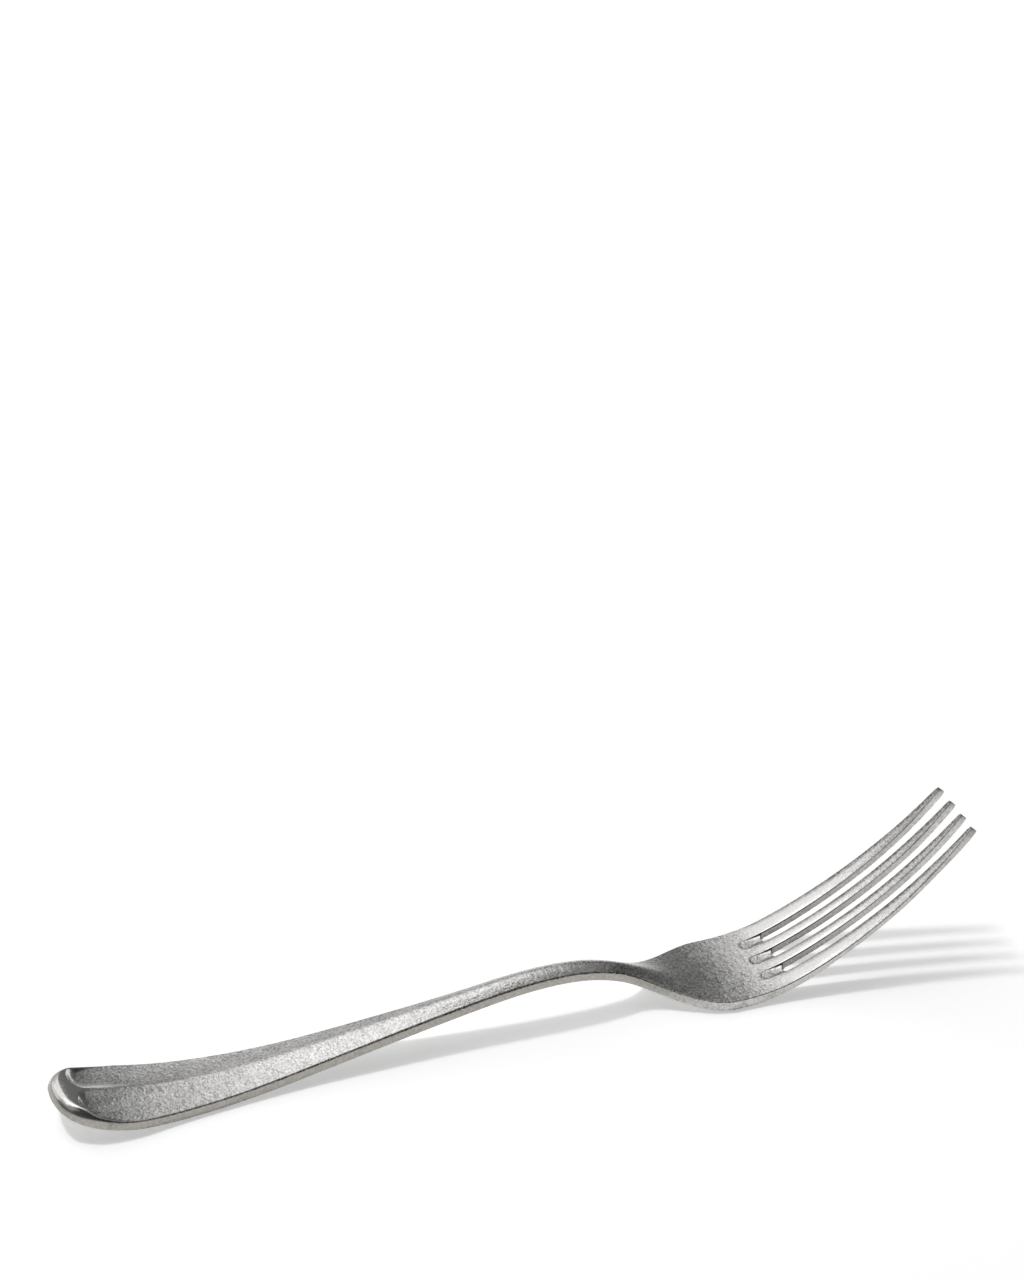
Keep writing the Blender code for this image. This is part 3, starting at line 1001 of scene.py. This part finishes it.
    def build(self) -> None:
        """Make the piece's mesh and object, and let it stand for the frame's solid."""
        points, faces, traits = self.surface()
        mesh = bpy.data.meshes.new("fork")
        mesh.vertices.add(len(points))
        mesh.vertices.foreach_set("co", points.astype(np.float32).ravel())
        mesh.loops.add(faces.size)
        mesh.loops.foreach_set("vertex_index", faces.astype(np.int32).ravel())
        mesh.polygons.add(len(faces))
        mesh.polygons.foreach_set("loop_start", np.arange(0, faces.size, 4, dtype=np.int32))
        mesh.update(calc_edges=True)
        mesh.validate()
        mesh.shade_smooth()
        for trait, share in traits.items():
            layer = mesh.attributes.new(trait.value, "FLOAT", "POINT")
            layer.data.foreach_set("value", share.astype(np.float32))
        self.piece = put("fork", mesh)
        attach(self.piece, "root")
        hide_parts(NODE)

    def dress(self, finish: "Stonewash") -> None:
        """Give the piece its washed steel."""
        self.piece.data.materials.append(finish.material())


class Bench:
    """A material's or world's node tree, with short ways to add nodes to it."""

    def __init__(self, tree: bpy.types.NodeTree) -> None:
        """Start on an empty tree."""
        self.tree = tree
        tree.nodes.clear()

    def add(self, kind: str, **settings: object) -> bpy.types.Node:
        """Add a node and set its properties by name.

        Args:
            kind: The node's type.
            settings: Its properties and their values.

        Returns:
            The node.
        """
        node = self.tree.nodes.new(kind)
        for name, value in settings.items():
            setattr(node, name, value)
        return node

    def feed(self, socket: Socket, value: "Socket | float | tuple") -> None:
        """Link a socket to another, or set it to a plain value.

        Args:
            socket: The socket that is fed.
            value: The socket or value that feeds it.
        """
        if isinstance(value, bpy.types.NodeSocket):
            self.tree.links.new(value, socket)
        else:
            socket.default_value = value

    def maths(self, operation: str, *values: "Socket | float") -> Socket:
        """One step of arithmetic on sockets or numbers.

        Args:
            operation: The name of the step.
            values: What it works on.

        Returns:
            Its result.
        """
        node = self.add("ShaderNodeMath", operation=operation)
        for socket, value in zip(node.inputs, values):
            self.feed(socket, value)
        return node.outputs[0]

    def spread(self, value: Socket, low: float, high: float, to_low: float, to_high: float) -> Socket:
        """Carry a value from one range to another, held at its ends.

        Args:
            value: The value.
            low: Start of its range.
            high: End of its range.
            to_low: What the start becomes.
            to_high: What the end becomes.

        Returns:
            The value in its new range.
        """
        node = self.add("ShaderNodeMapRange", interpolation_type="LINEAR", clamp=True)
        for socket, number in zip(node.inputs, (value, low, high, to_low, to_high)):
            self.feed(socket, number)
        return node.outputs[0]

    def noise(self, place: Socket, grain: "Grain") -> Socket:
        """Noise of one grain.

        Args:
            place: Where the noise is read.
            grain: Its size and layers.

        Returns:
            The noise, about 0 to 1.
        """
        node = self.add("ShaderNodeTexNoise", noise_dimensions="3D")
        self.feed(node.inputs["Vector"], place)
        self.feed(node.inputs["Scale"], 1.0 / grain.size)
        self.feed(node.inputs["Detail"], grain.detail)
        self.feed(node.inputs["Roughness"], grain.fineness)
        return node.outputs["Fac"]

    def trait(self, trait: Trait) -> Socket:
        """A trait that the mesh carries at its points."""
        node = self.add("ShaderNodeAttribute", attribute_type="GEOMETRY", attribute_name=trait.value)
        return node.outputs["Fac"]

    def mean(self, share: "Socket | float", first: "Socket | float", second: "Socket | float") -> Socket:
        """Mix two numbers.

        Args:
            share: Share of the second.
            first: The first.
            second: The second.

        Returns:
            The mixed number.
        """
        node = self.add("ShaderNodeMix", data_type="FLOAT")
        for socket, value in zip(node.inputs[:1] + node.inputs[2:4], (share, first, second)):
            self.feed(socket, value)
        return node.outputs[0]

    def blend(self, share: "Socket | float", first: "Socket | tuple", second: "Socket | tuple") -> Socket:
        """Mix two colours.

        Args:
            share: Share of the second.
            first: The first.
            second: The second.

        Returns:
            The mixed colour.
        """
        node = self.add("ShaderNodeMix", data_type="RGBA")
        self.feed(node.inputs[0], share)
        self.feed(node.inputs[6], first)
        self.feed(node.inputs[7], second)
        return node.outputs[2]

    def show(self, output: str, surface: Socket) -> None:
        """Send a surface to the tree's output, of the given kind."""
        self.feed(self.add(output).inputs["Surface"], surface)


def new_material(name: str) -> tuple[bpy.types.Material, Bench]:
    """A new material, and the bench that its nodes are made on.

    Args:
        name: The material's name.

    Returns:
        The material and its bench.
    """
    material = bpy.data.materials.new(name)
    material.use_nodes = True
    return material, Bench(material.node_tree)


@dataclass(frozen=True)
class Grain:
    """One noise in the finish: size of its lumps, count and weight of its finer layers, depth of its bump."""

    size: float
    detail: float
    fineness: float
    depth: float


@dataclass(frozen=True)
class Stonewash:
    """Stainless steel tumbled with stones: light and dark flecks over fine dents; duller, warmer walls,
    darkened partly as painted shade.

    A contrast is the range of a share that is spread from dark to light. A polished value holds on polish.
    """

    dark: Colour = (0.35, 0.346, 0.34, 1.0)
    light: Colour = (0.80, 0.792, 0.776, 1.0)
    # Darker, warmer walls: partly their own duller tone, partly painted shade.
    shaded_wall_dark: Colour = (0.35, 0.335, 0.305, 1.0)
    shaded_wall_light: Colour = (0.49, 0.47, 0.43, 1.0)
    # Dark for painted shade in grooves, scoops and under the slots, and for the strip along the tines' edges.
    shade_and_edge_dark: Colour = (0.11, 0.107, 0.102, 1.0)
    fleck: Grain = Grain(size=0.0005, detail=3.0, fineness=0.6, depth=0.00008)
    dent: Grain = Grain(size=0.0008, detail=1.0, fineness=0.5, depth=0.00006)
    wave: Grain = Grain(size=0.0040, detail=2.0, fineness=0.5, depth=0.00010)
    contrast: tuple[float, float] = (0.35, 0.65)
    shade_and_edge_contrast: tuple[float, float] = (0.2, 0.8)
    even_share: float = 0.6
    patch_share: float = 0.2
    # Shares of painted shade in the grooves, and the least darkening at the other dark marks.
    groove_shade: float = 0.5
    least_edge_shade: float = 0.45
    polished_flecks: float = 0.18
    dull: float = 0.38
    shiny: float = 0.22
    polished: float = 0.20
    wall_roughness: float = 0.42
    polished_dents: float = 0.15
    polished_waves: float = 0.7

    def material(self) -> bpy.types.Material:
        """Three noises drive colour, roughness and bump; walls, edges, grooves and polish have their own,
        partly painted shade.

        Returns:
            The finish's material.
        """
        material, bench = new_material(SLOT)
        place = bench.add("ShaderNodeTexCoord").outputs["Object"]
        fleck = bench.noise(place, self.fleck)
        dent = bench.noise(place, self.dent)
        wave = bench.noise(place, self.wave)
        fleck_share = bench.spread(fleck, *self.contrast, 0.0, 1.0)
        patch = bench.spread(wave, *self.contrast, 0.0, 1.0)
        shader = bench.add("ShaderNodeBsdfPrincipled")
        shader.inputs["Metallic"].default_value = 1.0
        bench.feed(shader.inputs["Base Color"], self.colour(bench, fleck_share, patch))
        bench.feed(shader.inputs["Roughness"], self.roughness(bench, fleck_share, patch))
        polish = bench.trait(Trait.POLISH)
        dented = bench.spread(polish, 0.0, 1.0, 1.0, self.polished_dents)
        wavy = bench.spread(polish, 0.0, 1.0, 1.0, self.polished_waves)
        normal = None
        for height, grain, share in ((wave, self.wave, wavy), (dent, self.dent, dented),
                                     (fleck, self.fleck, dented)):
            bump = bench.add("ShaderNodeBump")
            bench.feed(bump.inputs["Strength"], share)
            bench.feed(bump.inputs["Distance"], grain.depth)
            bench.feed(bump.inputs["Height"], height)
            if normal is not None:
                bench.feed(bump.inputs["Normal"], normal)
            normal = bump.outputs["Normal"]
        bench.feed(shader.inputs["Normal"], normal)
        bench.show("ShaderNodeOutputMaterial", shader.outputs["BSDF"])
        return material

    def colour(self, bench: Bench, fleck_share: Socket, patch: Socket) -> Socket:
        """Flecks and patches between two greys; warmer walls, partly painted shade; painted shade in grooves,
        in scoops and under the slots, and a darker strip at the tines' edges.

        Args:
            bench: The material's node tree.
            fleck_share: Share of the light fleck.
            patch: Share of the light patches.

        Returns:
            The base colour.
        """
        dark_share = bench.maths("SUBTRACT", 1.0, fleck_share)
        kept = bench.spread(bench.trait(Trait.POLISH), 0.0, 1.0, 1.0, self.polished_flecks)
        mottled = bench.mean(self.patch_share, fleck_share, patch)
        plain = bench.blend(bench.mean(kept, self.even_share, mottled), self.dark, self.light)
        # Painted shade on the groove floors.
        groove_shade_share = bench.maths("MULTIPLY", dark_share, self.groove_shade)
        in_groove = bench.maths("MULTIPLY", bench.trait(Trait.GROOVE), groove_shade_share)
        plain = bench.blend(in_groove, plain, self.shade_and_edge_dark)
        # Darker, warmer walls, partly painted shade.
        wall = bench.blend(fleck_share, self.shaded_wall_dark, self.shaded_wall_light)
        walled = bench.blend(bench.trait(Trait.WALL), plain, wall)
        # Painted shade in the scoops, round the grooves and under the slots, and a darker strip at the tines'
        # edges.
        flecked = bench.spread(dark_share, *self.shade_and_edge_contrast, self.least_edge_shade, 1.0)
        at_edge = bench.maths("MULTIPLY", bench.trait(Trait.EDGE), flecked)
        return bench.blend(at_edge, walled, self.shade_and_edge_dark)

    def roughness(self, bench: Bench, fleck_share: Socket, patch: Socket) -> Socket:
        """Light flecks and patches are duller; the roughness is lower on polish and even on the walls.

        Args:
            bench: The material's node tree.
            fleck_share: Share of the light fleck.
            patch: Share of the light patches.

        Returns:
            The roughness.
        """
        mottled = bench.mean(self.patch_share, fleck_share, patch)
        washed = bench.spread(mottled, 0.0, 1.0, self.shiny, self.dull)
        smoother = bench.mean(bench.trait(Trait.POLISH), washed, self.polished)
        return bench.mean(bench.trait(Trait.WALL), smoother, self.wall_roughness)


@dataclass(frozen=True)
class Floor:
    """Plain white floor that keeps the fork's shadow."""

    side: float = 6.0
    drop: float = 0.00002
    colour: Colour = (0.88, 0.88, 0.88, 1.0)
    fill: float = 0.36

    def build(self) -> None:
        """Make the floor: a flat grid of one face."""
        half = self.side / 2.0
        corners = half * np.array([(-1.0, -1.0, 0.0), (1.0, -1.0, 0.0), (1.0, 1.0, 0.0), (-1.0, 1.0, 0.0)])
        corners[:, 2] = -self.drop
        mesh = bpy.data.meshes.new("floor")
        mesh.from_pydata(corners.tolist(), [], [(0, 1, 2, 3)])
        mesh.materials.append(self.material())
        floor = put("floor", mesh)

    def material(self) -> bpy.types.Material:
        """Matt white, with a fill that only the camera and mirror-like surfaces see.

        Returns:
            The floor's material.
        """
        material, bench = new_material("white_floor")
        matt = bench.add("ShaderNodeBsdfDiffuse")
        bench.feed(matt.inputs["Color"], self.colour)
        fill = bench.add("ShaderNodeEmission")
        bench.feed(fill.inputs["Strength"], bench.maths("MULTIPLY", seen_directly(bench), self.fill))
        both = bench.add("ShaderNodeAddShader")
        bench.feed(both.inputs[0], matt.outputs[0])
        bench.feed(both.inputs[1], fill.outputs[0])
        bench.show("ShaderNodeOutputMaterial", both.outputs[0])
        return material


def seen_directly(bench: Bench) -> Socket:
    """1 for rays from the camera, from gloss or through glass, and 0 for the light on matt surfaces.

    Args:
        bench: The node tree that reads it.

    Returns:
        The share as a socket.
    """
    path = bench.add("ShaderNodeLightPath").outputs
    glossy = bench.maths("MAXIMUM", path["Is Camera Ray"], path["Is Glossy Ray"])
    return bench.maths("MAXIMUM", glossy, path["Is Transmission Ray"])


def direction(azimuth: float, elevation: float) -> Vector:
    """Unit vector from the fork towards a light.

    Args:
        azimuth: Angle from +Y towards +X.
        elevation: Angle above the table.

    Returns:
        The direction.
    """
    turn = math.radians(azimuth)
    rise = math.radians(elevation)
    return Vector((math.sin(turn) * math.cos(rise), math.cos(turn) * math.cos(rise), math.sin(rise)))


@dataclass(frozen=True)
class Softbox:
    """A lit rectangle that faces the fork, by its direction and the angles that it spans from there."""

    name: str
    azimuth: float
    elevation: float
    half_width: float
    half_height: float
    radiance: float
    distance: float = 1.2

    def build(self) -> None:
        """Hang the softbox; its power is its radiance times its area times pi."""
        lamp = bpy.data.lights.new(self.name, "AREA")
        lamp.shape = "RECTANGLE"
        lamp.size = 2.0 * self.distance * math.tan(math.radians(self.half_width))
        lamp.size_y = 2.0 * self.distance * math.tan(math.radians(self.half_height))
        lamp.energy = self.radiance * lamp.size * lamp.size_y * math.pi
        box = put(self.name, lamp)
        box.location = direction(self.azimuth, self.elevation) * self.distance
        box.rotation_mode = "QUATERNION"
        box.rotation_quaternion = box.location.to_track_quat("Z", "Y")
        box.visible_camera = False


@dataclass(frozen=True)
class Studio:
    """Soft studio light: a key lamp that casts the shadow, its softbox and six others, and a dim surround."""

    key_azimuth: float = KEY_AZIMUTH
    key_elevation: float = KEY_ELEVATION
    key_strength: float = 1.0
    key_angle: float = 7.0
    surround: float = 0.05
    left_glow: float = 0.08
    back_glow: float = 0.22
    softboxes: tuple[Softbox, ...] = (
        Softbox("key_softbox", KEY_AZIMUTH, KEY_ELEVATION, 15.0, 15.0, 1.1),
        Softbox("back_softbox", -5.7, 42.5, 22.0, 12.0, 1.07),
        Softbox("overhead_softbox", -3.0, 73.0, 14.0, 16.0, 1.2),
        Softbox("front_panel", 95.0, 68.0, 28.0, 20.0, 0.30),
        Softbox("low_back_panel", -4.0, 20.0, 13.5, 11.0, 0.45),
        Softbox("low_left_panel", -34.0, 20.0, 15.0, 11.0, 0.76),
        Softbox("left_panel", -74.0, 52.0, 32.0, 20.0, 0.30),
    )

    def build(self) -> None:
        """Hang the key lamp and the softboxes, and light the surround."""
        lamp = bpy.data.lights.new("key", "SUN")
        lamp.energy = self.key_strength
        lamp.angle = math.radians(self.key_angle)
        key = put("key", lamp)
        key.rotation_mode = "QUATERNION"
        key.rotation_quaternion = direction(self.key_azimuth, self.key_elevation).to_track_quat("Z", "Y")
        key.visible_glossy = False
        for softbox in self.softboxes:
            softbox.build()
        bpy.context.scene.world = self.room()

    def room(self) -> bpy.types.World:
        """Dim surround that grows lighter to the left and to the back, by its direction along -X and +Y.

        Returns:
            The world.
        """
        world = bpy.data.worlds.new("surround")
        world.use_nodes = True
        bench = Bench(world.node_tree)
        axes = bench.add("ShaderNodeSeparateXYZ")
        bench.feed(axes.inputs[0], bench.add("ShaderNodeTexCoord").outputs["Generated"])
        leftward = bench.maths("MAXIMUM", bench.maths("MULTIPLY", axes.outputs["X"], -1.0), 0.0)
        backward = bench.maths("MAXIMUM", axes.outputs["Y"], 0.0)
        level = bench.maths("MULTIPLY_ADD", leftward, self.left_glow, self.surround)
        light = bench.add("ShaderNodeBackground")
        bench.feed(light.inputs["Strength"], bench.maths("MULTIPLY_ADD", backward, self.back_glow, level))
        bench.show("ShaderNodeOutputWorld", light.outputs[0])
        return world


@dataclass(frozen=True)
class Viewpoint:
    """Camera at the photograph's viewing angle."""

    place: tuple[float, float, float] = (-0.27147, -0.73431, 0.55354)
    turned_right: float = 20.236
    tilted_down: float = 30.884
    focal_pixels: float = 5000.0
    sensor: float = 36.0
    nearest: float = 0.01

    def build(self) -> None:
        """Set up the camera, with its focal length given in pixels of the photograph's width."""
        camera = bpy.data.cameras.new("camera")
        camera.sensor_fit = "HORIZONTAL"
        camera.sensor_width = self.sensor
        camera.lens = self.focal_pixels * self.sensor / PHOTO_WIDTH
        camera.clip_start = self.nearest
        viewer = put("camera", camera)
        viewer.location = self.place
        viewer.rotation_euler = (math.radians(90.0 - self.tilted_down), 0.0, math.radians(-self.turned_right))
        bpy.context.scene.camera = viewer


def main() -> None:
    """Build the fork and its stage, and note the fork's number of points and faces."""
    logging.basicConfig(level=logging.INFO, format="%(name)s: %(message)s")
    bpy.context.scene.view_settings.view_transform = "Standard"
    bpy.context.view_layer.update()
    fork = Fork()
    fork.build()
    fork.dress(Stonewash())
    LOG.info("fork: %d points, %d faces", len(fork.piece.data.vertices), len(fork.piece.data.polygons))
    Floor().build()
    Studio().build()
    Viewpoint().build()
    LOG.info("stage, light and camera are set")


if __name__ == "__main__":
    main()
